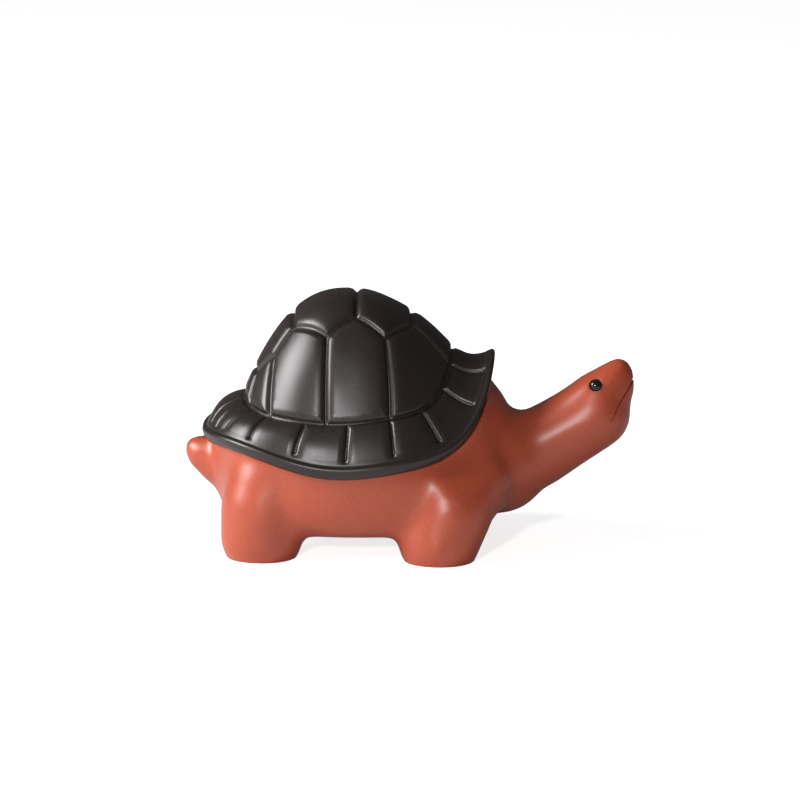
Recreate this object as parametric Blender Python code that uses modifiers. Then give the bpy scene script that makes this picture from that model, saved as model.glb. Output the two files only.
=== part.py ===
"""Clay tea pet: a tortoise with a red clay body, a dark clay shell and two black bead eyes.

Metres, +Z up. +X runs from the tail to the head, and the tortoise is the same on both sides of Y = 0.
The feet stand on Z = 0, and the origin is under the middle of the figure.
"""

import math

import bmesh
import bpy
import numpy as np
from mathutils import Matrix, Vector
from mathutils.bvhtree import BVHTree

MM = 0.001

# Clay and gaps
BODY_WALL = 3.6 * MM
SHELL_WALL = 3.3 * MM
SEAT_GAP = 0.3 * MM
EYE_GAP = 0.3 * MM

# Shell, as half sizes about its own middle
SHELL_MIDDLE_X = -15.0 * MM
SHELL_TOP_Z = 63.3 * MM
RIM_HALF_LENGTH = 36.0 * MM
RIM_HALF_WIDTH = 30.0 * MM
MARGIN_AT_ENDS = 10.1 * MM
MARGIN_AT_SIDES = 5.5 * MM
CROWN_HALF_LENGTH = RIM_HALF_LENGTH - MARGIN_AT_ENDS
CROWN_HALF_WIDTH = RIM_HALF_WIDTH - MARGIN_AT_SIDES
PLAN_POWER = 2.3
RIM_THICKNESS = 3.0 * MM
LIP_WIDTH = 1.0 * MM
GROOVE_DEPTH = 0.7 * MM
GROOVE_HALF_WIDTH = 0.65 * MM

# Heights and forms around the shell, at 0, 30, 60 ... 180 degrees from the head
CROWN_FOOT_Z = [z * MM for z in (49.2, 41.5, 36.3, 34.9, 35.3, 36.3, 38.0)]
RIM_BOTTOM_Z = [z * MM for z in (45.3, 33.5, 24.2, 21.9, 24.8, 27.3, 26.6)]
MARGIN_BULGE = [b * MM for b in (-1.5, -0.6, 0.3, 0.6, 1.1, 1.5, 1.7)]
CROWN_FULLNESS = (2.1, 2.4, 2.75, 2.8, 2.8, 2.6, 2.5)

# The scute pattern is drawn flat: the crown's foot is a circle of radius 1, and the margin lies outside it.
# Seams are in degrees from the head, and corners are points of one side.
RIM_RADIUS = 1.35
SCUTE_RADIUS = 1.31
CREASE_RADIUS = 1.02
CROWN_SPREAD = math.radians(75)
PATTERN_LEVELS = 2
PATTERN_MERGE = 0.0001
MARGIN_SEAMS = (16, 30, 48, 67, 90, 113, 136, 148, 159, 170)
MARGIN_SEAM_ENDS = (14, 29, 50, 71, 91, 112, 133, 149, 158, 170)
COSTAL_FEET = (16, 67, 102, 136, 159)
RING_EXTRAS = (0, 8, 23, 39, 57.5, 78.5, 124.5, 180)
SPINE_SEAMS = (0.485, 0.06, -0.42, -0.81)
SIDE_CORNERS = ((0.48, 0.195), (0.28, 0.46), (0.06, 0.385), (-0.16, 0.495), (-0.4, 0.27), (-0.58, 0.31),
                (-0.78, 0.17))

# The lip's section, as steps outwards from the margin's edge and heights above the rim's bottom, and then the
# inner wall's rings, each with the depth under the outside there
LIP_SECTION = ((0.7 * MM, 2.8 * MM), (LIP_WIDTH, 2.2 * MM), (LIP_WIDTH, 0.7 * MM), (0.5 * MM, 0.0))
INNER_RINGS = ((1.26, 2.3 * MM), (1.18, 2.9 * MM), (1.07, SHELL_WALL), (0.96, SHELL_WALL), (0.8, SHELL_WALL),
               (0.55, SHELL_WALL), (0.25, SHELL_WALL))
SEAT_SIDES = 72
SEAT_REACH = 4.0 * MM
SEAT_TOP_Z = SHELL_TOP_Z + 20.0 * MM

# Trunk, as half sizes about its own middle
TRUNK_MIDDLE = Vector((-12.0, 0.0, 26.7)) * MM
TRUNK_HALF = Vector((36.0, 28.0, 22.2)) * MM
TRUNK_PLAN_POWER = 2.4
TRUNK_TOP_POWER = 4.2
TRUNK_BOTTOM_POWER = 5.0
HOLLOW_MOUTH_SHARE = 0.8
VENT_RADIUS = 3.5 * MM
VENT_MIDDLE_X = -13.3 * MM
TABLE_REACH = 80.0 * MM

# Limbs in millimetres: points of a centre line from the trunk outwards, each with the radius there
NECK_LINE = ((14, 0, 22.5, 13), (23, 0, 21.3, 12.8), (31, 0, 23.2, 9.9), (38, 0, 27.1, 8.9),
             (45, 0, 31.5, 9.1), (47.7, 0, 36.4, 7.9), (49.9, 0, 40.0, 5.9))
TAIL_LINE = ((-40, 0, 18.5, 9), (-46, 0, 20.4, 6.6), (-50.2, 0, 22.2, 4.9), (-52.4, 0, 23.6, 3.4))
FRONT_LEG_LINE = ((10, 16, 18, 11.5), (9.5, 18.3, 12, 11), (7.2, 19.9, 5, 10.2))
REAR_LEG_LINE = ((-33, 13, 18, 12), (-35.3, 14.8, 12, 11), (-36.2, 15.6, 5, 10.2))
BODY_VOXEL = 2.0 * MM
SMOOTH_STEPS = 5
BODY_FACE_SHARE = 0.38

# Face
HEAD_CENTRE = Vector((45.5, 0.0, 33.0)) * MM
EYE_PLACE = Vector((45.6, 5.4, 40.3)) * MM
EYE_RADIUS = 1.65 * MM
MOUTH_RADIUS = 0.5 * MM
MOUTH_SPREAD = math.radians(61)
MOUTH_MIDDLE_TILT = math.radians(38)
MOUTH_CORNER_TILT = math.radians(-5)
MOUTH_STEPS = 12

GROOVE_SHADING = math.radians(28)
BODY_SHADING = math.radians(40)
RED_CLAY = (0.42, 0.105, 0.055, 1.0)
DARK_CLAY = (0.035, 0.027, 0.025, 1.0)
BLACK_CLAY = (0.012, 0.012, 0.012, 1.0)


def clear_scene():
    for old in list(bpy.data.objects):
        bpy.data.objects.remove(old)


def collection(name):
    made = bpy.data.collections.new(name)
    bpy.context.scene.collection.children.link(made)
    return made


def clay(name, colour, roughness):
    made = bpy.data.materials.new(name)
    made.use_nodes = True
    shader = made.node_tree.nodes["Principled BSDF"]
    shader.inputs["Base Color"].default_value = colour
    shader.inputs["Roughness"].default_value = roughness
    shader.inputs["Metallic"].default_value = 0.0
    return made


def add_object(name, mesh, home, material=None):
    made = bpy.data.objects.new(name, mesh)
    home.objects.link(made)
    if material:
        mesh.materials.append(material)
    return made


def as_helper(helper):
    helper.hide_render = True
    helper.display_type = "WIRE"
    return helper


def mesh_from(bm, name):
    mesh = bpy.data.meshes.new(name)
    bm.to_mesh(mesh)
    bm.free()
    return mesh


def evaluated_mesh(source, name):
    """The object's mesh in world space with its modifiers applied."""
    bpy.context.view_layer.update()
    graph = bpy.context.evaluated_depsgraph_get()
    mesh = bpy.data.meshes.new_from_object(source.evaluated_get(graph))
    mesh.name = name
    mesh.transform(source.matrix_world)
    return mesh


def cut(target, cutter):
    """Takes the cutter away from the target with a Boolean modifier."""
    modifier = target.modifiers.new("cut_" + cutter.name, "BOOLEAN")
    modifier.operation = "DIFFERENCE"
    modifier.solver = "EXACT"
    modifier.object = as_helper(cutter)


def around(samples, angle):
    """A smooth value at an angle from the head, through samples evenly spaced over half a turn."""
    steps = len(samples) - 1
    total = 0.0
    for wave in range(steps + 1):
        share = 0.0
        for index, sample in enumerate(samples):
            end = 0.5 if index in (0, steps) else 1.0
            share += end * sample * math.cos(math.pi * wave * index / steps)
        end = 0.5 if wave in (0, steps) else 1.0
        total += end * 2.0 / steps * share * math.cos(wave * angle)
    return total


def plan_point(angle, half_length, half_width):
    """A point of the squarish oval that the shell follows when seen from above."""
    c, s = math.cos(angle), math.sin(angle)
    reach = (abs(c) ** PLAN_POWER + abs(s) ** PLAN_POWER) ** (-1.0 / PLAN_POWER)
    return half_length * reach * c, half_width * reach * s


def crown_point(radius, angle):
    """A point of the crown's outer surface: radius 0 is the top, and 1 is the crown's foot."""
    reach = math.sin(radius * CROWN_SPREAD) / math.sin(CROWN_SPREAD)
    x, y = plan_point(angle, CROWN_HALF_LENGTH, CROWN_HALF_WIDTH)
    foot = around(CROWN_FOOT_Z, angle)
    rise = (SHELL_TOP_Z - foot) * (1.0 - reach ** around(CROWN_FULLNESS, angle))
    return Vector((SHELL_MIDDLE_X + reach * x, reach * y, foot + rise))


def margin_point(share, angle):
    """A point of the flared margin: share 0 is the crown's foot, and 1 is the top edge of the rim."""
    x, y = plan_point(angle, RIM_HALF_LENGTH - LIP_WIDTH, RIM_HALF_WIDTH - LIP_WIDTH)
    foot = crown_point(1.0, angle)
    edge = Vector((SHELL_MIDDLE_X + x, y, around(RIM_BOTTOM_Z, angle) + RIM_THICKNESS))
    run = edge - foot
    level = math.hypot(run.x, run.y)
    out = Vector((-run.z * math.cos(angle), -run.z * math.sin(angle), level)).normalized()
    return foot + run * share + out * around(MARGIN_BULGE, angle) * math.sin(math.pi * share)


def shell_point(radius, angle):
    if radius <= 1.0:
        return crown_point(radius, angle)
    return margin_point((radius - 1.0) / (RIM_RADIUS - 1.0), angle)


def sunk_point(radius, angle, depth):
    """The point that lies at this depth under the shell's outer surface."""
    step = 0.01
    here = shell_point(radius, angle)
    outwards = shell_point(radius + step, angle) - shell_point(radius - step, angle)
    sideways = shell_point(radius, angle + step) - shell_point(radius, angle - step)
    return here - outwards.cross(sideways).normalized() * depth


def on_circle(degrees, radius=1.0):
    angle = math.radians(degrees)
    return (round(radius * math.cos(angle), 6), round(radius * math.sin(angle), 6))


def mirrored(points):
    return [(x, -y) for x, y in points]


def scute_faces():
    """The flat scutes as lists of faces, each face a list of points, with the same points on shared seams."""
    ring = sorted(set(MARGIN_SEAMS) | set(COSTAL_FEET) | set(RING_EXTRAS))
    corners = [on_circle(COSTAL_FEET[0]), *SIDE_CORNERS, on_circle(COSTAL_FEET[-1])]
    spine = [(x, 0.0) for x in SPINE_SEAMS]
    scutes = []
    front = [corners[1], *[on_circle(a) for a in reversed(ring) if 0 < a <= COSTAL_FEET[0]]]
    scutes.append([[spine[0], *front, on_circle(0), *mirrored(front[::-1])]])
    for index in range(len(spine) - 1):
        side = corners[2 * index + 1:2 * index + 4]
        scutes.append([[spine[index], *side, spine[index + 1], *mirrored(side[::-1])]])
    rear = [corners[-2], *[on_circle(a) for a in ring if COSTAL_FEET[-1] <= a < 180]]
    scutes.append([[spine[-1], *rear, on_circle(180), *mirrored(rear[::-1])]])
    for index, (low, high) in enumerate(zip(COSTAL_FEET, COSTAL_FEET[1:])):
        foot = [on_circle(a) for a in reversed(ring) if low <= a <= high]
        outline = list(dict.fromkeys(corners[2 * index:2 * index + 3] + foot))
        scutes += [[outline], [mirrored(outline)]]
    whole = sorted({-a for a in ring} | set(ring))
    seams = sorted({-a for a in MARGIN_SEAMS} | set(MARGIN_SEAMS)) + [360 - MARGIN_SEAMS[-1]]
    whole += [360 + a for a in whole if a > -180 and 360 + a <= seams[-1]]
    for low, high in zip(seams, seams[1:]):
        span = [a for a in whole if low <= a <= high]
        scutes.append([margin_cell(a, b) for a, b in zip(span, span[1:])])
    return scutes


def margin_cell(first, second):
    """One four-sided cell of a marginal scute, between two angles in degrees."""
    inner = [on_circle(first), on_circle(second)]
    return inner + [on_circle(slanted(second), SCUTE_RADIUS), on_circle(slanted(first), SCUTE_RADIUS)]


def slanted(degrees):
    """The angle at the rim of a marginal seam that leaves the crown's foot at this angle."""
    turned = (degrees + 180) % 360 - 180
    outer = float(np.interp(abs(turned), (0, *MARGIN_SEAMS, 180), (0, *MARGIN_SEAM_ENDS, 180)))
    return math.copysign(outer, turned)


def pattern_mesh():
    """The flat scute pattern, divided evenly, with each face's scute in a layer."""
    bm = bmesh.new()
    layer = bm.faces.layers.int.new("scute")
    for number, faces in enumerate(scute_faces()):
        for points in faces:
            face = bm.faces.new([bm.verts.new((x, y, 0.0)) for x, y in points])
            face[layer] = number
    bmesh.ops.remove_doubles(bm, verts=bm.verts, dist=PATTERN_MERGE)
    bmesh.ops.recalc_face_normals(bm, faces=bm.faces)
    return mesh_from(bm, "scute_pattern")


def divided(mesh, levels, home):
    """The mesh after plain subdivision, which keeps its outline."""
    source = as_helper(add_object(mesh.name, mesh, home))
    modifier = source.modifiers.new("divide", "SUBSURF")
    modifier.subdivision_type = "SIMPLE"
    modifier.levels = modifier.render_levels = levels
    result = evaluated_mesh(source, mesh.name + "_divided")
    bpy.data.objects.remove(source)
    return result


def shell_outside(home):
    """The shell's outer skin with its grooves, and the open edge of its margin with the angles along it."""
    bm = bmesh.new()
    bm.from_mesh(divided(pattern_mesh(), PATTERN_LEVELS, home))
    layer = bm.faces.layers.int["scute"]
    flat = {v: (math.hypot(v.co.x, v.co.y), math.atan2(v.co.y, v.co.x)) for v in bm.verts}
    for vert, (radius, angle) in flat.items():
        vert.co = shell_point(radius, angle)
    bmesh.ops.recalc_face_normals(bm, faces=bm.faces)
    bm.normal_update()
    seams = {v for v in bm.verts if len({f[layer] for f in v.link_faces}) > 1}
    floors = {v: v.co - v.normal * GROOVE_DEPTH for v in seams}
    for vert in seams:
        if flat[vert][0] < CREASE_RADIUS:
            floors[vert] = sunk_point(*flat[vert], GROOVE_DEPTH)
    for number in sorted({f[layer] for f in bm.faces}):
        faces = [f for f in bm.faces if f[layer] == number]
        made = bmesh.ops.inset_region(bm, faces=faces, thickness=GROOVE_HALF_WIDTH, use_even_offset=True,
                                      use_boundary=False)
        for face in made["faces"]:
            face[layer] = -1
    edges = [e for e in bm.edges if e.is_boundary]
    angles = {v: rim_angle(v.co) for e in edges for v in e.verts}
    for vert, floor in floors.items():
        vert.co = floor
    sides = [f for f in bm.faces if f[layer] == -1]
    bmesh.ops.triangulate(bm, faces=sides, quad_method="SHORT_EDGE")
    return bm, edges, angles


def rim_angle(point):
    """The pattern's angle at a point of the rim."""
    return math.atan2(point.y / RIM_HALF_WIDTH, (point.x - SHELL_MIDDLE_X) / RIM_HALF_LENGTH)


def lip_point(angle, out, height):
    x, y = plan_point(angle, RIM_HALF_LENGTH - LIP_WIDTH + out, RIM_HALF_WIDTH - LIP_WIDTH + out)
    return Vector((SHELL_MIDDLE_X + x, y, around(RIM_BOTTOM_Z, angle) + height))


def add_shell(home, helpers, material):
    """The hollow dome: the carved outside, then the lip, the underside and the inner wall, ring by ring."""
    bm, edges, angles = shell_outside(helpers)
    rings = [lambda angle: margin_point(1.0, angle)]
    rings += [lambda angle, out=out, height=height: lip_point(angle, out, height)
              for out, height in LIP_SECTION]
    for place in rings:
        grown = bmesh.ops.extrude_edge_only(bm, edges=edges)["geom"]
        fresh = {g for g in grown if isinstance(g, bmesh.types.BMVert)}
        edges = [g for g in grown if isinstance(g, bmesh.types.BMEdge) and set(g.verts) <= fresh]
        roots = {v: next(e.other_vert(v) for e in v.link_edges if e.other_vert(v) in angles) for v in fresh}
        angles = {v: angles[root] for v, root in roots.items()}
        for vert in fresh:
            vert.co = place(angles[vert])
    turns = sorted(angles.values())[::2]
    loops = ring_loops(bm, inner_places(), turns)
    edges += [bm.edges.get((loops[0][index - 1], loops[0][index])) for index in range(len(turns))]
    bmesh.ops.bridge_loops(bm, edges=edges)
    bm.faces.new(loops[-1])
    bmesh.ops.recalc_face_normals(bm, faces=bm.faces)
    shell = add_object("shell", mesh_from(bm, "shell"), home, material)
    shade(shell, GROOVE_SHADING)
    return shell


def inner_places(gap=0.0):
    """The rings of the inner wall, each moved in by a gap."""
    return [lambda angle, radius=radius, depth=depth: sunk_point(radius, angle, depth + gap)
            for radius, depth in INNER_RINGS]


def ring_loops(bm, places, turns):
    """Rings of points around the shell at these angles, joined by faces."""
    loops = [[bm.verts.new(place(angle)) for angle in turns] for place in places]
    for upper, lower in zip(loops, loops[1:]):
        for index in range(len(turns)):
            bm.faces.new((upper[index - 1], upper[index], lower[index], lower[index - 1]))
    return loops


def shade(target, angle):
    target.data.shade_smooth()
    target.data.set_sharp_from_angle(angle=angle)


def seat_cutter(home):
    """All the room over the shell's underside, less a small gap, out past the rim."""
    lip_out = LIP_SECTION[-1][0]
    reach = LIP_WIDTH + SEAT_REACH
    places = [lambda angle: lip_point(angle, reach, 0.0)]
    places += [lambda angle, out=out: lip_point(angle, out, -SEAT_GAP) for out in (reach, lip_out)]
    places += inner_places(SEAT_GAP)
    bm = bmesh.new()
    loops = ring_loops(bm, places, [2.0 * math.pi * step / SEAT_SIDES for step in range(SEAT_SIDES)])
    for loop in (loops[0], loops[-1]):
        bm.faces.new(loop)
    for vert in loops[0]:
        vert.co.z = SEAT_TOP_Z
    bmesh.ops.recalc_face_normals(bm, faces=bm.faces)
    return add_object("shell_seat", mesh_from(bm, "shell_seat"), home)


def rounded_block(bm, half):
    """A closed oval form between a ball and a block, about the trunk's middle."""
    made = bmesh.ops.create_uvsphere(bm, u_segments=28, v_segments=18, radius=1.0)
    for vert in made["verts"]:
        power = TRUNK_TOP_POWER if vert.co.z > 0.0 else TRUNK_BOTTOM_POWER
        x, y, z = (abs(part) / size for part, size in zip(vert.co, half))
        level = (x ** TRUNK_PLAN_POWER + y ** TRUNK_PLAN_POWER) ** (power / TRUNK_PLAN_POWER)
        vert.co = TRUNK_MIDDLE + vert.co * (level + z ** power) ** (-1.0 / power)


def add_limb(bm, line, side=1.0):
    """A limb as a ball at each point of its line and a cone between each two."""
    stops = [(Vector((x, y * side, z)) * MM, radius * MM) for x, y, z, radius in line]
    for centre, radius in stops:
        bmesh.ops.create_uvsphere(bm, u_segments=24, v_segments=14, radius=radius,
                                  matrix=Matrix.Translation(centre))
    for (start, start_radius), (end, end_radius) in zip(stops, stops[1:]):
        run = end - start
        place = Matrix.Translation((start + end) / 2) @ run.to_track_quat("Z", "Y").to_matrix().to_4x4()
        bmesh.ops.create_cone(bm, cap_ends=True, segments=24, radius1=start_radius, radius2=end_radius,
                              depth=run.length, matrix=place)


def blended_body(home):
    """Trunk, legs, tail and neck melted into one skin, as the clay is smoothed by hand."""
    bm = bmesh.new()
    rounded_block(bm, TRUNK_HALF)
    add_limb(bm, NECK_LINE)
    add_limb(bm, TAIL_LINE)
    for side in (1.0, -1.0):
        add_limb(bm, FRONT_LEG_LINE, side)
        add_limb(bm, REAR_LEG_LINE, side)
    source = as_helper(add_object("body_masses", mesh_from(bm, "body_masses"), home))
    blend = source.modifiers.new("blend", "REMESH")
    blend.mode = "VOXEL"
    blend.voxel_size = BODY_VOXEL
    smooth = source.modifiers.new("smooth", "SMOOTH")
    smooth.iterations = SMOOTH_STEPS
    thin = source.modifiers.new("thin", "DECIMATE")
    thin.ratio = BODY_FACE_SHARE
    mesh = evaluated_mesh(source, "body")
    bpy.data.objects.remove(source)
    return mesh


def mouth_cutter(skin, home):
    """A round tool drawn over the snout, down and back to a corner on each side."""
    tree = BVHTree.FromPolygons([v.co for v in skin.vertices], [p.vertices for p in skin.polygons])
    path = bpy.data.curves.new("mouth_line", "CURVE")
    path.dimensions = "3D"
    path.bevel_depth = MOUTH_RADIUS
    path.bevel_resolution = 2
    path.use_fill_caps = True
    line = path.splines.new("POLY")
    line.points.add(2 * MOUTH_STEPS)
    for index, point in enumerate(line.points):
        share = index / MOUTH_STEPS - 1.0
        turn = share * MOUTH_SPREAD
        tilt = MOUTH_MIDDLE_TILT + (MOUTH_CORNER_TILT - MOUTH_MIDDLE_TILT) * abs(share) ** 1.5
        aim = Vector((math.cos(tilt) * math.cos(turn), math.cos(tilt) * math.sin(turn), math.sin(tilt)))
        hit = tree.ray_cast(HEAD_CENTRE, aim)[0]
        point.co = (*hit, 1.0)
    drawn = add_object("mouth_line", path, home)
    mesh = evaluated_mesh(drawn, "mouth_line")
    bpy.data.objects.remove(drawn)
    bm = bmesh.new()
    bm.from_mesh(mesh)
    bmesh.ops.remove_doubles(bm, verts=bm.verts, dist=PATTERN_MERGE * MM)
    bmesh.ops.recalc_face_normals(bm, faces=bm.faces)
    return add_object("mouth_line", mesh_from(bm, "mouth_line"), home)


def ball(name, centre, radius, home, material=None):
    bm = bmesh.new()
    bmesh.ops.create_uvsphere(bm, u_segments=14, v_segments=8, radius=radius,
                              matrix=Matrix.Translation(centre))
    made = add_object(name, mesh_from(bm, name), home, material)
    made.data.shade_smooth()
    return made


def block(name, low, high, home):
    bm = bmesh.new()
    place = Matrix.Translation((low + high) / 2) @ Matrix.Diagonal((*(high - low), 1.0))
    bmesh.ops.create_cube(bm, size=1.0, matrix=place)
    return add_object(name, mesh_from(bm, name), home)


def column(name, half_length, half_width, middle_x, low, high, home):
    """An upright oval column."""
    bm = bmesh.new()
    middle = Matrix.Translation((middle_x, 0.0, (low + high) / 2))
    bmesh.ops.create_cone(bm, cap_ends=True, segments=40, radius1=1.0, radius2=1.0, depth=high - low,
                          matrix=middle @ Matrix.Diagonal((half_length, half_width, 1.0, 1.0)))
    return add_object(name, mesh_from(bm, name), home)


def add_body(home, helpers, material):
    body = add_object("body", blended_body(helpers), home, material)
    wide = Vector((TABLE_REACH, TABLE_REACH, 0.0))
    cut(body, block("table_cut", -wide - Vector((0.0, 0.0, TABLE_REACH)), wide, helpers))
    cut(body, seat_cutter(helpers))
    bm = bmesh.new()
    rounded_block(bm, TRUNK_HALF - Vector((1.0, 1.0, 1.0)) * BODY_WALL)
    cut(body, add_object("hollow", mesh_from(bm, "hollow"), helpers))
    mouth_half = TRUNK_HALF * HOLLOW_MOUTH_SHARE
    cut(body, column("hollow_mouth", mouth_half.x, mouth_half.y, TRUNK_MIDDLE.x, TRUNK_MIDDLE.z + BODY_WALL,
                     SEAT_TOP_Z + BODY_WALL, helpers))
    vent_top = TRUNK_MIDDLE.z
    cut(body, column("vent", VENT_RADIUS, VENT_RADIUS, VENT_MIDDLE_X, -BODY_WALL, vent_top, helpers))
    cut(body, mouth_cutter(body.data, helpers))
    for side, name in ((1.0, "left"), (-1.0, "right")):
        centre = Vector((EYE_PLACE.x, EYE_PLACE.y * side, EYE_PLACE.z))
        cut(body, ball("socket_" + name, centre, EYE_RADIUS + EYE_GAP, helpers))
    shade(body, BODY_SHADING)
    return body


def main():
    clear_scene()
    home = collection("tea_pet")
    helpers = collection("cutters")
    add_shell(home, helpers, clay("dark_clay", DARK_CLAY, 0.5))
    add_body(home, helpers, clay("red_clay", RED_CLAY, 0.55))
    bead = clay("black_clay", BLACK_CLAY, 0.12)
    for side, name in ((1.0, "left"), (-1.0, "right")):
        centre = Vector((EYE_PLACE.x, EYE_PLACE.y * side, EYE_PLACE.z))
        ball("eye_" + name, centre, EYE_RADIUS, home, bead)


main()
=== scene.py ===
"""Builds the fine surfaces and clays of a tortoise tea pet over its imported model, with a plain studio stage.

Metres, +Z up, +X from tail to head. The feet stand on Z = 0.
"""

import math

import bmesh
import bpy
import numpy as np
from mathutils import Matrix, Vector, geometry, noise
from mathutils.bvhtree import BVHTree
from mathutils.kdtree import KDTree


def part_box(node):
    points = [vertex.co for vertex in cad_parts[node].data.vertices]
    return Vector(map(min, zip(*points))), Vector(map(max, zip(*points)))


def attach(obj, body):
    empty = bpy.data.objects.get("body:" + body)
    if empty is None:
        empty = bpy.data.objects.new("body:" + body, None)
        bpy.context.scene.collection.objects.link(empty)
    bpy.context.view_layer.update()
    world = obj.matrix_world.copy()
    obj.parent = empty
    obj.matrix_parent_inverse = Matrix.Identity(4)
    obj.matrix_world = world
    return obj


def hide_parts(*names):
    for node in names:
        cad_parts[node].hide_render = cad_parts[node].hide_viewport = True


bl_info = {
    "name": "Clay tortoise tea pet",
    "version": (1, 0, 0),
    "blender": (4, 5, 0),
    "location": "View3D > Sidebar > Tea pet",
    "description": "Models a hollow clay tortoise with a carved shell",
    "category": "Mesh",
}

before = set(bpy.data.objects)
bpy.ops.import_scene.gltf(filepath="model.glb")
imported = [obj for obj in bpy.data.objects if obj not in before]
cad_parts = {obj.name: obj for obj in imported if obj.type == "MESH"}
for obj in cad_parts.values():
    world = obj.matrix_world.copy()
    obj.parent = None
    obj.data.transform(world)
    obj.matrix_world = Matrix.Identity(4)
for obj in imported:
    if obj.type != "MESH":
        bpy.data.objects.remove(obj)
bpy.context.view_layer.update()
MM = 0.001

# Shell, as half sizes about its own middle
SHELL_LOW, SHELL_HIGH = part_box("shell")
SHELL_MIDDLE_X = (SHELL_LOW[0] + SHELL_HIGH[0]) / 2
SHELL_TOP_Z = SHELL_HIGH[2]
RIM_HALF_LENGTH = (SHELL_HIGH[0] - SHELL_LOW[0]) / 2
RIM_HALF_WIDTH = (SHELL_HIGH[1] - SHELL_LOW[1]) / 2
MARGIN_AT_ENDS = 10.1 * MM
MARGIN_AT_SIDES = 5.5 * MM
CROWN_HALF_LENGTH = RIM_HALF_LENGTH - MARGIN_AT_ENDS
CROWN_HALF_WIDTH = RIM_HALF_WIDTH - MARGIN_AT_SIDES
PLAN_POWER = 2.3
RIM_THICKNESS = 3.0 * MM
LIP_WIDTH = 1.0 * MM
SHELL_WALL = 3.3 * MM


def cosine_series(samples):
    """The waves of a smooth curve round the shell, through samples evenly spaced over half a turn."""
    steps = len(samples) - 1
    ends = [0.5 if index in (0, steps) else 1.0 for index in range(steps + 1)]
    return [end * 2.0 / steps * sum(weight * sample * math.cos(math.pi * wave * index / steps)
                                    for index, (weight, sample) in enumerate(zip(ends, samples)))
            for wave, end in enumerate(ends)]


# Heights and forms around the shell, at 0, 30, 60 ... 180 degrees from the head
CROWN_FOOT_Z = cosine_series([z * MM for z in (49.2, 41.5, 36.3, 34.9, 35.3, 36.3, 38.0)])
RIM_BOTTOM_Z = cosine_series([z * MM for z in (45.3, 33.5, 24.2, 21.9, 24.8, 27.3, 26.6)])
MARGIN_BULGE = cosine_series([b * MM for b in (-1.5, -0.6, 0.3, 0.6, 1.1, 1.5, 1.7)])
CROWN_FULLNESS = cosine_series((2.1, 2.4, 2.75, 2.8, 2.8, 2.6, 2.5))
# In front, the body leans in under the shell's edge: where it starts, as shares of the edge at the head and
# at the flanks, how steeply, how far down and out it reaches, and the wall that stays outside the hollow
TUCK_START = (0.86, 0.93)
TUCK_TURN = math.radians(60)
TUCK_SLOPE = 1.15
TUCK_DEPTH = 9.5 * MM
TUCK_REACH = 14.0 * MM
TUCK_WALL = 1.5 * MM

# The scute pattern is drawn flat: the crown's foot is a circle of radius 1, and the margin lies outside it.
# Seams are in degrees from the head, and corners are points of one side.
RIM_RADIUS = 1.35
SCUTE_RADIUS = 1.322
CROWN_SPREAD = math.radians(75)
MARGIN_SEAMS = (16, 30, 48, 67, 90, 113, 136, 148, 159, 170)
MARGIN_SEAM_ENDS = (14, 29, 50, 71, 91, 112, 133, 149, 158, 170)
COSTAL_FEET = (16, 67, 102, 136, 159)
RING_EXTRAS = (0, 8, 23, 39, 57.5, 78.5, 124.5, 180)
SPINE_SEAMS = (0.485, 0.06, -0.42, -0.81)
SIDE_CORNERS = ((0.48, 0.195), (0.28, 0.46), (0.06, 0.385), (-0.16, 0.495), (-0.4, 0.27), (-0.58, 0.31),
                (-0.78, 0.17))
LIP_SECTION = ((0.35 * MM, 3.1 * MM), (0.7 * MM, 2.95 * MM), (0.93 * MM, 2.65 * MM), (LIP_WIDTH, 2.25 * MM),
               (0.92 * MM, 1.75 * MM), (0.72 * MM, 1.2 * MM), (0.42 * MM, 0.65 * MM), (0.1 * MM, 0.22 * MM),
               (-0.2 * MM, 0.0))
INNER_RINGS = ((1.26, 2.3 * MM), (1.18, 2.9 * MM), (1.07, SHELL_WALL), (0.96, SHELL_WALL), (0.8, SHELL_WALL),
               (0.55, SHELL_WALL), (0.25, SHELL_WALL))
SEAT_GAP = 0.3 * MM
SEAT_SIDES = 120
SEAT_REACH = 4.0 * MM
SEAT_TOP_Z = 80.0 * MM

# Carving, in millimetres: half width and depth of the seams on the crown, at its foot and on the margin
CROWN_SEAM = (1.1, 0.95)
FOOT_SEAM = (0.8, 0.8)
MARGIN_SEAM = (0.75, 0.75)
MARGIN_SEAM_END = 1.29
SEAM_REACH = 1.6 * MM
SEAM_ROUNDING = 0.12
ROW_OFFSETS = (0.22, 0.45, 0.7, 0.95, 1.25, 1.6, 2.1)
ROW_STEP = 0.42 * MM
TREE_STEP = 0.12 * MM
GRID_RINGS = 56
RIM_SIDES = 360
FOOT_TOLERANCE = 0.001
RIM_ZONE = 0.2
SLOPE_STEP = 0.01
LIP_START = 0.95

# The fine triangles of the pattern: the cell of the search, the room that a point needs in a row beside a seam,
# on the grid and at the rim, and the share of its distance that a row's point keeps from every seam
CELL_SIZE = 0.02
ROW_ROOM = 0.006
GRID_ROOM = 0.016
RIM_ROOM = 0.008
ROW_CLEARANCE = 0.8
SCALE_STEP = 0.002
GRID_SHIFT = 0.3
JOIN_GAP = 1e-7

# The crowning of each scute beside its seams, and the unevenness of hand work
PILLOW_DEPTH = 0.3 * MM
PILLOW_LENGTH = 1.3 * MM
WOBBLE_DEPTH = 0.08 * MM
WOBBLE_LENGTH = 7.0 * MM

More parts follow.
